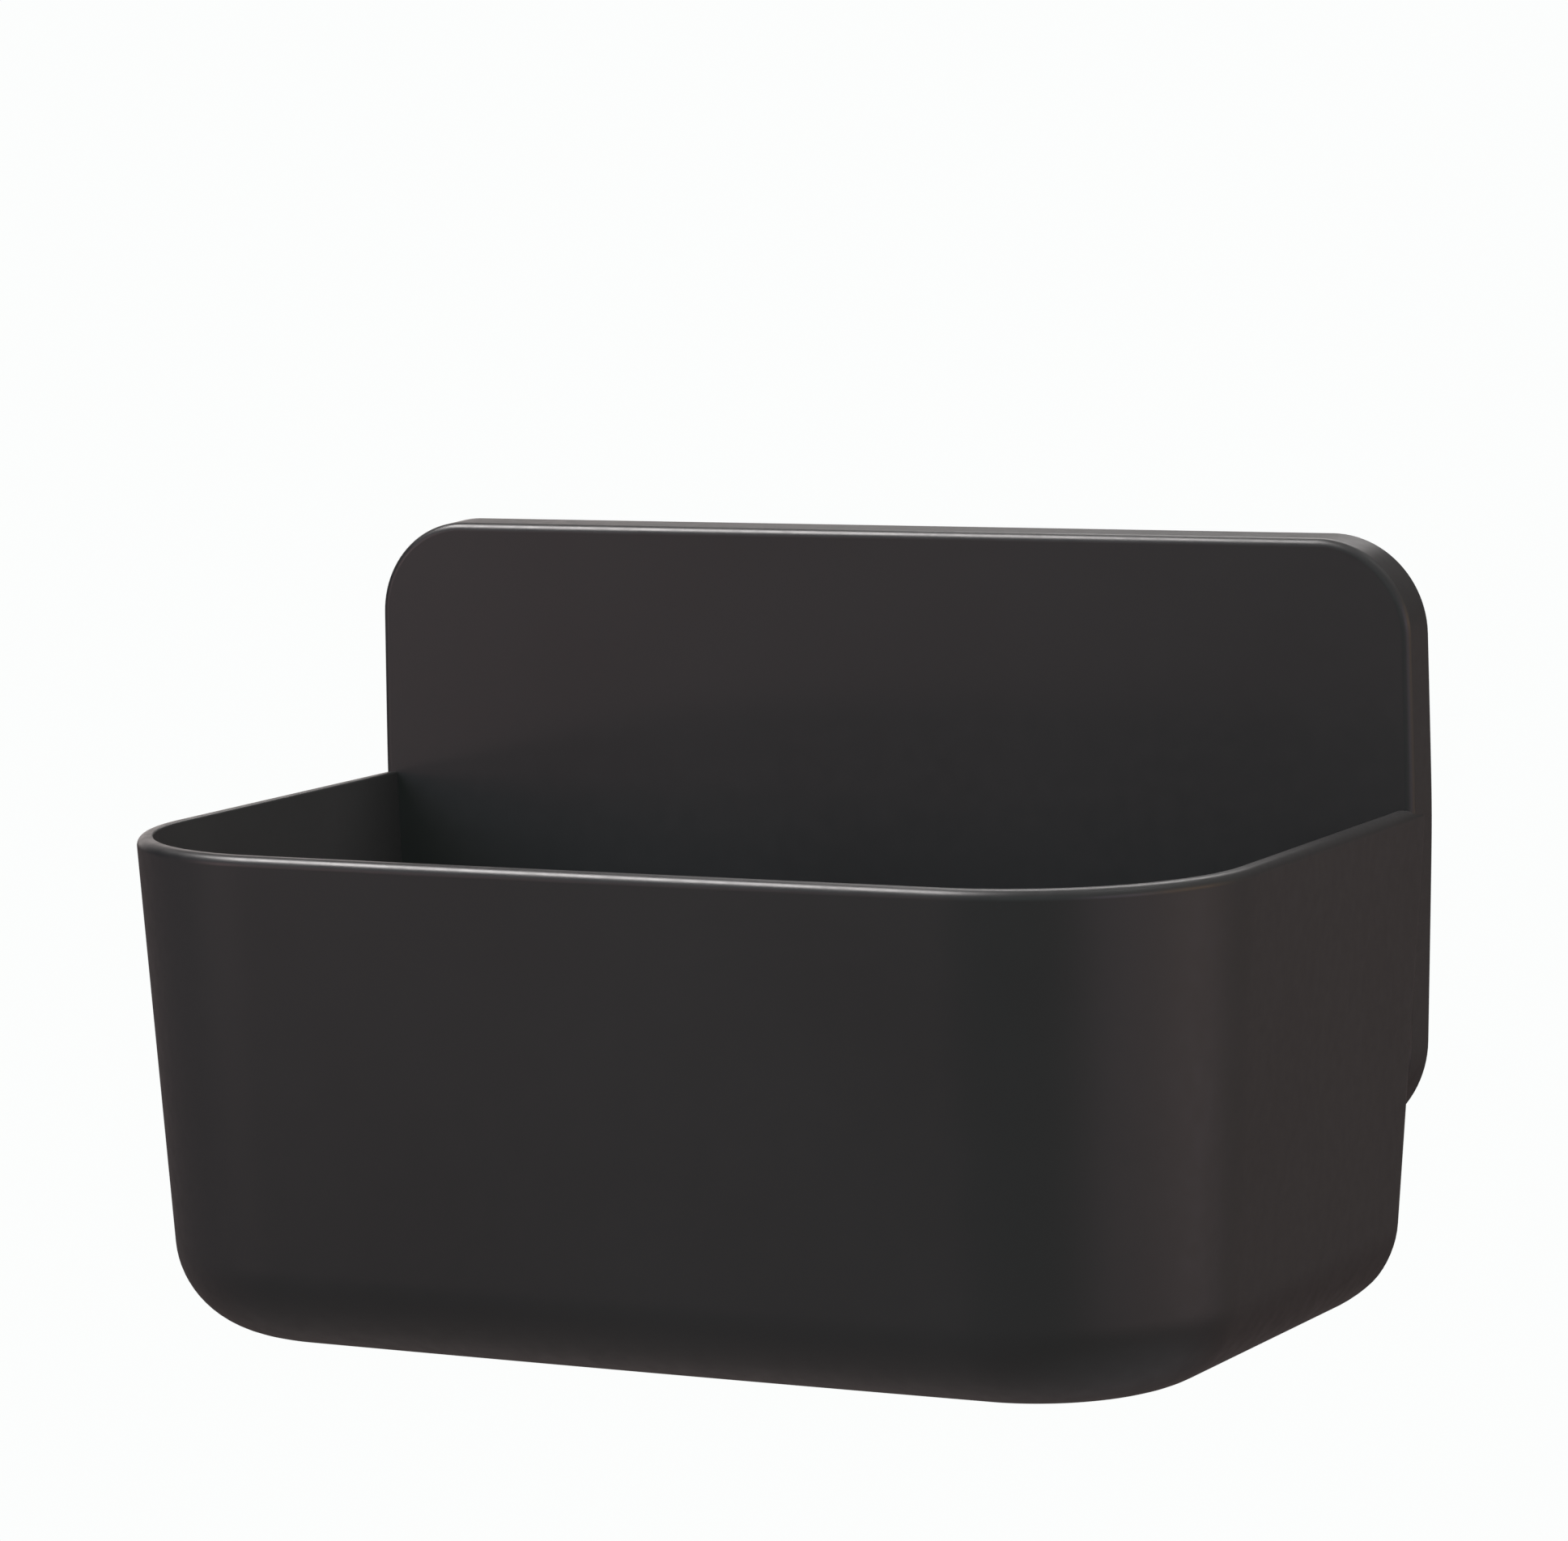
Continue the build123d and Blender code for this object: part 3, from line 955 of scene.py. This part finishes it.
@dataclass
class WallPlate:
    """The plate that the strips hold to the wall, with the T-shaped tongue that the caddy hangs on."""

    side: Side
    thickness: float = 2.5
    corner: float = 6.0
    wall_edge: float = 0.2
    room_edge: float = 0.7
    neck_width: float = 12.0
    neck_corner: float = 1.0
    neck_fillet: float = 0.35
    head_width: float = 26.0
    head_thickness: float = 2.5
    head_height: float = 20.0
    head_corner: float = 1.5
    lead_in: float = 1.0
    under_edge: float = 0.3
    pin_mark: Pair = (2.2, 0.15)
    pin_mark_edge: float = 0.05
    pin_mark_inset: float = 6.5

    @property
    def node(self) -> str:
        """The CAD node's name."""
        return f"{self.side.name.lower()}_wall_plate"

    def build(self) -> Object:
        """Join the neck and the head to the plate, and sink the ejector pins' round marks in its face."""
        low, high = node_box(self.node)
        middle, centre = (low[0] + high[0]) / 2, (low[2] + high[2]) / 2
        half = (high[0] - low[0]) / 2
        face = high[1] - self.thickness
        head_rear = low[1] + self.head_thickness
        tall = self.head_height / 2
        plate = Slab(half, low[2], high[2], self.corner, self.corner, middle).solid(
            "plate", high[1], face, self.wall_edge, self.room_edge
        )
        edges = (centre - tall, centre + tall)
        neck = Slab(self.neck_width / 2, *edges, self.neck_corner, self.neck_corner, middle)
        head = Slab(self.head_width / 2, *edges, self.head_corner, self.head_corner, middle)
        parts = [
            root_slab(neck, face, head_rear - SINK, (-self.neck_fillet, 0.0)),
            head.solid("tongue_head", head_rear, low[1], self.under_edge, self.lead_in),
        ]
        combine(plate, parts, Cut.JOIN)
        radius, sink = self.pin_mark
        rounds = (-self.pin_mark_edge, self.pin_mark_edge)
        spread = (half - self.pin_mark_inset, (high[2] - low[2]) / 2 - self.pin_mark_inset)
        places = around_middle((middle, centre), spread)
        marks = [round_bar("mark", place, radius, face, face + sink, rounds) for place in places]
        combine(plate, marks, Cut.REMOVE)
        return settle(plate, f"{self.node}_moulding", self.node, Body.WALL, WALL_PLATE_PLASTIC)


@dataclass
class AdhesiveStrip:
    """A stretch-release foam strip: two thin films with foam between them, and a pull tab."""

    side: Side
    place: str
    corner: float = 2.0
    length: float = 60.0
    film: float = 0.14
    groove: float = 0.14
    groove_width: float = 0.06
    foam_edge: float = 0.2
    bulge: float = 0.05
    tab_half: float = 6.0
    tab_thickness: float = 0.5
    tab_step: float = 0.1
    tab_corners: Pair = (3.0, 0.5)
    tab_edge: float = 0.1

    @property
    def node(self) -> str:
        """The CAD node's name."""
        return f"{self.side.name.lower()}_{self.place}_adhesive_strip"

    def build(self) -> Object:
        """Stack the strip's layers, whose edges differ slightly in inset, and join the tab."""
        low, high = node_box(self.node)
        middle, half = (low[0] + high[0]) / 2, (high[0] - low[0]) / 2
        thick = high[1] - low[1]
        step = np.array([0, self.film, self.film + self.groove_width, self.film + self.foam_edge])
        depths = np.concatenate([high[1] - step, low[1] + step[::-1]])
        inset = np.array([0, 0, self.groove, self.bulge, self.bulge, self.groove, 0, 0])
        bottom = high[2] - self.length
        outline = Slab(half, bottom, high[2], self.corner, self.corner, middle)
        strip = outline.carry("strip", depths, inset)
        tab = Slab(self.tab_half, low[2], bottom + self.corner, *self.tab_corners, middle)
        rear = high[1] - (thick - self.tab_thickness) * self.tab_step
        front = high[1] - self.tab_thickness
        combine(strip, [tab.solid("tab", rear, front, self.tab_edge, self.tab_edge)], Cut.JOIN)
        return settle(strip, f"{self.node}_layers", self.node, Body.WALL, STRIP_FOAM)


@dataclass
class WallBumper:
    """A round rubber foot that keeps the caddy's lower edge off the tiles, on a stem in its socket."""

    side: Side
    head: Pair = (6.5, 3.2)
    edge: float = 0.8
    rear_edge: float = 0.3
    dish: Pair = (4.2, 0.35)
    dish_lip: float = 1.2
    dish_shoulder: float = 0.8
    stem: float = 2.5
    stem_chamfer: float = 0.5

    @property
    def node(self) -> str:
        """The CAD node's name."""
        return f"{self.side.name.lower()}_wall_bumper"

    def place(self) -> Pair:
        """X and Z of the bumper's axis."""
        low, high = node_box(self.node)
        return (low[0] + high[0]) / 2, (low[2] + high[2]) / 2

    def build(self) -> Object:
        """Turn a dished head and a chamfered stem in one profile."""
        low, high = node_box(self.node)
        radius, thickness = self.head
        dish_radius, dish_depth = self.dish
        wall_round, rear_round = arc(90, 0, 6), arc(0, 90, 3)
        rear = high[1] - thickness
        radii = [
            [dish_radius - self.dish_lip, dish_radius - self.dish_lip / 2, dish_radius],
            radius - self.edge * (1 - np.cos(wall_round)),
            radius - self.rear_edge * (1 - np.cos(rear_round)),
            [self.stem, self.stem, self.stem - self.stem_chamfer],
        ]
        depths = [
            [high[1] - dish_depth, high[1] - self.dish_shoulder * dish_depth, high[1]],
            high[1] - self.edge * (1 - np.sin(wall_round)),
            rear + self.rear_edge * (1 - np.sin(rear_round)),
            [rear, low[1] + self.stem_chamfer, low[1]],
        ]
        bumper = turned("bumper", self.place(), np.concatenate(depths), np.concatenate(radii))
        return settle(bumper, f"{self.node}_foot", self.node, Body.CADDY, BUMPER_RUBBER)


@dataclass
class CaddyShell:
    """The one-piece moulding: basket, back panel, skirt, drain slots, bosses and guide ribs."""

    fixing: HangerFixing
    socket: BumperSocket
    bumpers: Sequence[WallBumper]
    plates: Sequence[HangerPlate]

    def build(self) -> Object:
        """Join basket and panel, hollow the panel, cut the drains and grow the bosses behind the panel."""
        low, high = node_box("caddy_shell")
        panel = BackPanel(top=high[2], rear=high[1])
        shell = Basket(panel, front=low[1]).cup()
        combine(shell, [panel.block()], Cut.JOIN)
        combine(shell, [panel.hollow()], Cut.REMOVE)
        combine(shell, DrainSlots().cutters(), Cut.REMOVE)
        for plate in self.plates:
            self.fixing.add_to(shell, panel, node_box(plate.node))
        for bumper in self.bumpers:
            end = node_box(bumper.node)[1][1] - bumper.head[1]
            self.socket.add_to(shell, panel, bumper.place(), end)
        return settle(shell, "caddy_shell_moulding", "caddy_shell", Body.CADDY, SHELL_PLASTIC)


# ---------------------------------------------------------------- the studio


@dataclass(frozen=True)
class Glow:
    """A soft round patch of light, either a part of the room or a part of the floor.

    Attributes:
        place: Direction of its middle in the room, or its middle on the floor in metres.
        inner: Where it is at its brightest: a cosine in the room, or a distance on the floor.
        outer: Where it ends, measured the same way.
        colour: Its linear colour at its brightest.
    """

    place: Triple
    inner: float
    outer: float
    colour: Triple


def add_glows(
    tree: bpy.types.NodeTree,
    place: bpy.types.NodeSocket,
    measure: str,
    glows: tuple[Glow, ...],
    start: Triple,
) -> bpy.types.NodeSocket:
    """Add up the light of some glows in a node tree.

    Args:
        tree: The node tree that gets the nodes.
        place: The socket with the direction or the position that is looked at.
        measure: The vector operation that compares it with a glow's place.
        glows: The glows.
        start: The even light below them.

    Returns:
        The socket with the light's colour.
    """
    total = tree.nodes.new("ShaderNodeCombineXYZ")
    for socket, level in zip(total.inputs, start):
        socket.default_value = level
    for glow in glows:
        near, tint, add = (tree.nodes.new("ShaderNodeVectorMath") for _ in range(3))
        level = tree.nodes.new("ShaderNodeMapRange")
        near.operation, tint.operation, level.interpolation_type = measure, "SCALE", "SMOOTHSTEP"
        near.inputs[1].default_value = glow.place
        level.inputs["From Min"].default_value = glow.outer
        level.inputs["From Max"].default_value = glow.inner
        tint.inputs[0].default_value = glow.colour
        tree.links.new(place, near.inputs[0])
        tree.links.new(near.outputs["Value"], level.inputs["Value"])
        tree.links.new(level.outputs["Result"], tint.inputs["Scale"])
        tree.links.new(total.outputs["Vector"], add.inputs[0])
        tree.links.new(tint.outputs["Vector"], add.inputs[1])
        total = add
    return total.outputs["Vector"]


@dataclass(frozen=True)
class Softbox:
    """A rectangular lamp that faces the caddy.

    Attributes:
        name: The lamp's name.
        place: Its middle, in metres.
        size: Its width and height, in metres.
        power: Its power in watts.
        colour: Its linear colour.
        in_gloss: Whether it is mirrored in glossy surfaces.
        in_matt: Whether it lights matt surfaces.
    """

    name: str
    place: Triple
    size: Pair
    power: float
    colour: Triple
    in_gloss: bool = True
    in_matt: bool = True

    def hang(self) -> Object:
        """Hang the lamp and turn it towards the caddy."""
        data = bpy.data.lights.new(self.name, "AREA")
        data.shape = "RECTANGLE"
        data.size, data.size_y = self.size
        data.energy = self.power
        data.color = self.colour
        lamp = bpy.data.objects.new(self.name, data)
        bpy.context.scene.collection.objects.link(lamp)
        low, high = CAD_BOX
        towards = (low + high) / 2 - Vector(self.place)
        lamp.location = self.place
        lamp.rotation_euler = towards.to_track_quat("-Z", "Y").to_euler()
        lamp.visible_glossy, lamp.visible_diffuse = self.in_gloss, self.in_matt
        return lamp


@dataclass
class Studio:
    """A pale floor far below the hung caddy, a pale room, and soft lamps."""

    standard_view: str = "Standard"
    floor_drop: float = 0.35
    floor_reach: float = 40.0
    paper: Triple = (0.975, 0.985, 0.98)
    floor_light: Triple = (0.142, 0.116, 0.112)
    floor_glows: tuple[Glow, ...] = (
        Glow((-0.20, -0.05, 0.0), 0.10, 0.45, (0.143, 0.133, 0.132)),
        Glow((0.35, -0.05, 0.0), 0.10, 0.45, (0.245, 0.245, 0.261)),
        Glow((1.55, -0.72, 0.0), 0.20, 0.90, (0.635, 0.459, 0.475)),
        Glow((1.65, 0.35, 0.0), 0.20, 0.90, (0.839, 0.664, 0.756)),
        Glow((-2.30, -3.30, 0.0), 0.30, 1.40, (1.158, 0.627, 0.628)),
        Glow((-2.90, -2.80, 0.0), 0.30, 1.40, (1.241, 1.188, 1.129)),
    )
    room_glows: tuple[Glow, ...] = (
        Glow((-0.707, -0.707, 0.0), 0.995, 0.93, (2.30, 1.45, 1.44)),
        Glow((0.906, -0.423, 0.0), 0.995, 0.93, (1.87, 1.50, 1.98)),
        Glow((0.978, 0.208, -0.035), 0.990, 0.90, (2.00, 1.18, 0.60)),
        Glow((-0.668, 0.742, 0.052), 0.990, 0.934, (1.45, 1.32, 1.28)),
    )
    lamps: tuple[Softbox, ...] = (
        Softbox(
            "overhead_softbox", (-0.80, -0.40, 1.50), (0.90, 0.62), 38.0, (1.0, 0.965, 0.96), in_matt=False
        ),
        Softbox("front_fill", (0.55, -1.50, 0.60), (1.0, 0.8), 15.4, (0.764, 1.0, 0.954), in_gloss=False),
        Softbox("left_fill", (-1.00, -1.30, 0.80), (0.8, 0.8), 17.2, (0.810, 0.847, 1.0), in_gloss=False),
        Softbox("high_fill", (0.70, 0.10, 1.40), (0.8, 0.8), 39.7, (0.990, 1.0, 1.0), in_gloss=False),
        Softbox("back_fill", (-0.30, 1.50, 0.50), (0.8, 0.8), 14.0, (1.0, 0.97, 0.96), in_gloss=False),
        Softbox("back_softbox", (-0.30, 1.20, 1.20), (0.8, 0.8), 7.0, (1.0, 0.97, 0.96)),
    )

    def build(self) -> None:
        """Set the floor, the room's light and the lamps."""
        self.floor()
        self.room()
        for lamp in self.lamps:
            lamp.hang()
        bpy.context.scene.view_settings.view_transform = self.standard_view

    def floor(self) -> None:
        """Lay the pale floor as one large square."""
        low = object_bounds()[0]
        reach, height = self.floor_reach, low.z - self.floor_drop
        mesh = bpy.data.meshes.new("floor")
        turns = ((-1, -1), (1, -1), (1, 1), (-1, 1))
        mesh.from_pydata([(i * reach, j * reach, height) for i, j in turns], [], [(0, 1, 2, 3)])
        floor = bpy.data.objects.new("floor", mesh)
        bpy.context.scene.collection.objects.link(floor)
        material, nodes, links, shader = blank_material("pale_floor")
        nodes.remove(shader)
        rays, place = nodes.new("ShaderNodeLightPath"), nodes.new("ShaderNodeTexCoord")
        seen, lit = (nodes.new("ShaderNodeEmission") for _ in range(2))
        mix = nodes.new("ShaderNodeMixShader")
        seen.inputs["Color"].default_value = (*self.paper, 1.0)
        glows = tuple(replace(glow, place=(*glow.place[:2], height)) for glow in self.floor_glows)
        light = add_glows(material.node_tree, place.outputs["Object"], "DISTANCE", glows, self.floor_light)
        links.new(light, lit.inputs["Color"])
        links.new(rays.outputs["Is Camera Ray"], mix.inputs["Fac"])
        links.new(lit.outputs["Emission"], mix.inputs[1])
        links.new(seen.outputs["Emission"], mix.inputs[2])
        links.new(mix.outputs["Shader"], nodes["Material Output"].inputs["Surface"])
        floor.data.materials.append(material)
        floor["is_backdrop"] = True

    def room(self) -> None:
        """Light the room: pale to the eye, and patches of light that only glossy surfaces mirror."""
        world = bpy.data.worlds.new("studio_room")
        bpy.context.scene.world = world
        world.use_nodes = True
        nodes, links = world.node_tree.nodes, world.node_tree.links
        rays, place = nodes.new("ShaderNodeLightPath"), nodes.new("ShaderNodeTexCoord")
        gloss, seen = (nodes.new("ShaderNodeBackground") for _ in range(2))
        shown = nodes.new("ShaderNodeMixShader")
        towards, dark = place.outputs["Generated"], (0.0, 0.0, 0.0)
        light = add_glows(world.node_tree, towards, "DOT_PRODUCT", self.room_glows, dark)
        links.new(light, gloss.inputs["Color"])
        links.new(rays.outputs["Is Glossy Ray"], gloss.inputs["Strength"])
        seen.inputs["Color"].default_value = (*self.paper, 1.0)
        links.new(rays.outputs["Is Camera Ray"], shown.inputs["Fac"])
        links.new(gloss.outputs["Background"], shown.inputs[1])
        links.new(seen.outputs["Background"], shown.inputs[2])
        links.new(shown.outputs["Shader"], nodes["World Output"].inputs["Surface"])


@dataclass
class Camera:
    """A long lens that looks down on the caddy from its right, slightly rolled."""

    turn: float = 26.66
    tilt: float = 6.89
    roll: float = -1.29
    distance: float = 1.44513
    lens: float = 140.75
    sensor: float = 36.0
    target: Triple = (-0.28, -62.3, 128.68)

    def build(self) -> None:
        """Place the camera on a sphere round its target, then roll it about its line of sight."""
        data = bpy.data.cameras.new("studio_camera")
        data.lens, data.sensor_width, data.sensor_fit = self.lens, self.sensor, "HORIZONTAL"
        data.clip_start, data.clip_end = 0.01, 200.0
        camera = bpy.data.objects.new("studio_camera", data)
        bpy.context.scene.collection.objects.link(camera)
        turn, tilt, roll = (np.radians(angle) for angle in (self.turn, self.tilt, self.roll))
        back = Vector((np.sin(turn) * np.cos(tilt), -np.cos(turn) * np.cos(tilt), np.sin(tilt)))
        right = Vector((np.cos(turn), np.sin(turn), 0.0))
        up = back.cross(right)
        rolled_right = right * np.cos(roll) + up * np.sin(roll)
        rolled_up = up * np.cos(roll) - right * np.sin(roll)
        axes = Matrix((rolled_right, rolled_up, back)).transposed()
        place = Vector(self.target) * MM + back * self.distance
        camera.matrix_world = Matrix.Translation(place) @ axes.to_4x4()
        bpy.context.scene.camera = camera


def main() -> None:
    """Build the camera, the caddy, its hardware and the studio, in that order."""
    logging.basicConfig(level=logging.INFO, format="%(name)s: %(message)s")
    Camera().build()
    fixing = HangerFixing()
    plates = [HangerPlate(side) for side in Side]
    bumpers = [WallBumper(side) for side in Side]
    CaddyShell(fixing, BumperSocket(), bumpers, plates).build()
    for plate in plates:
        plate.build(fixing)
    for side in Side:
        HangerScrews(side).build(fixing)
        WallPlate(side).build()
        for place in ("inner", "outer"):
            AdhesiveStrip(side, place).build()
    for bumper in bumpers:
        bumper.build()
    Studio().build()


if __name__ == "__main__":
    main()
